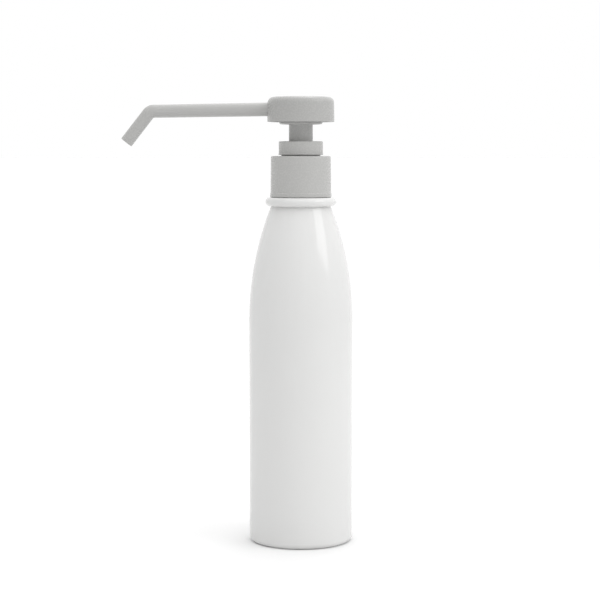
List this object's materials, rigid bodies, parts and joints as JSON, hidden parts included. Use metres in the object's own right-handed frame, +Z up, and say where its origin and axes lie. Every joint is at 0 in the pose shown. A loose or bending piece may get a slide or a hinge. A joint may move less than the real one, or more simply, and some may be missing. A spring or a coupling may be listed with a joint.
{
  "type": "pump bottle",
  "caption": "Round white bottle with a long curved shoulder and a grey hand pump: disc shaped press head, long thin spout bent down at its end, smooth screw closure.",
  "frame": {"origin": "centre of the bottle's base, on the plane that it stands on", "axes": "+Z up along the bottle's axis, -X towards the spout's tip, +Y away from the viewer of the picture"},
  "size_m": [0.1073, 0.0484, 0.2073],
  "materials": {
    "bottle_white": "glossy opaque white polyethylene, blow moulded",
    "pump_grey": "smooth light grey polypropylene, satin",
    "spout_grey": "smooth light grey extruded tube, satin",
    "pump_natural": "natural polypropylene, milky",
    "piston_natural": "soft natural polyethylene",
    "gasket_foam": "fine white foam",
    "ball_steel": "polished stainless steel",
    "spring_steel": "drawn stainless wire"
  },
  "bodies": {
    "bottle": {"bottle": "bottle_white"},
    "pump": {"housing": "pump_natural", "collar": "pump_grey", "gasket": "gasket_foam", "dip_tube": "pump_natural", "ball_cage": "pump_natural", "return_spring": "spring_steel"},
    "closure": {"closure": "pump_grey"},
    "piston": {"piston": "piston_natural"},
    "plunger": {"stem": "pump_grey", "head": "pump_grey", "spout": "spout_grey"},
    "inlet_ball": {"inlet_ball": "ball_steel"},
    "outlet_ball": {"outlet_ball": "ball_steel"}
  },
  "joints": [
    {"name": "pump_lift", "type": "slide", "parent": "bottle", "child": "pump", "axis": [0, 0, 1], "range_m": [0, 0.00476]},
    {"name": "closure_turn", "type": "hinge", "parent": "pump", "child": "closure", "pos_m": [0, 0, 0.169], "axis": [0, 0, 1], "range_deg": [0, 540]},
    {"name": "head_press", "type": "slide", "parent": "pump", "child": "piston", "axis": [0, 0, -1], "range_m": [0, 0.0072], "stiffness_N_per_m": 770, "springref_m": -0.01, "deforming": ["return_spring"]},
    {"name": "head_turn", "type": "hinge", "parent": "piston", "child": "plunger", "pos_m": [0, 0, 0.17], "axis": [0, 0, 1], "continuous": true},
    {"name": "inlet_ball_lift", "type": "slide", "parent": "pump", "child": "inlet_ball", "axis": [0, 0, 1], "range_m": [0, 0.0014]},
    {"name": "outlet_ball_lift", "type": "slide", "parent": "plunger", "child": "outlet_ball", "axis": [0, 0, 1], "range_m": [0, 0.0014]}
  ],
  "couplings": [
    {"joint": "closure_turn", "follows": "pump_lift", "rad_per_m": 1979}
  ]
}
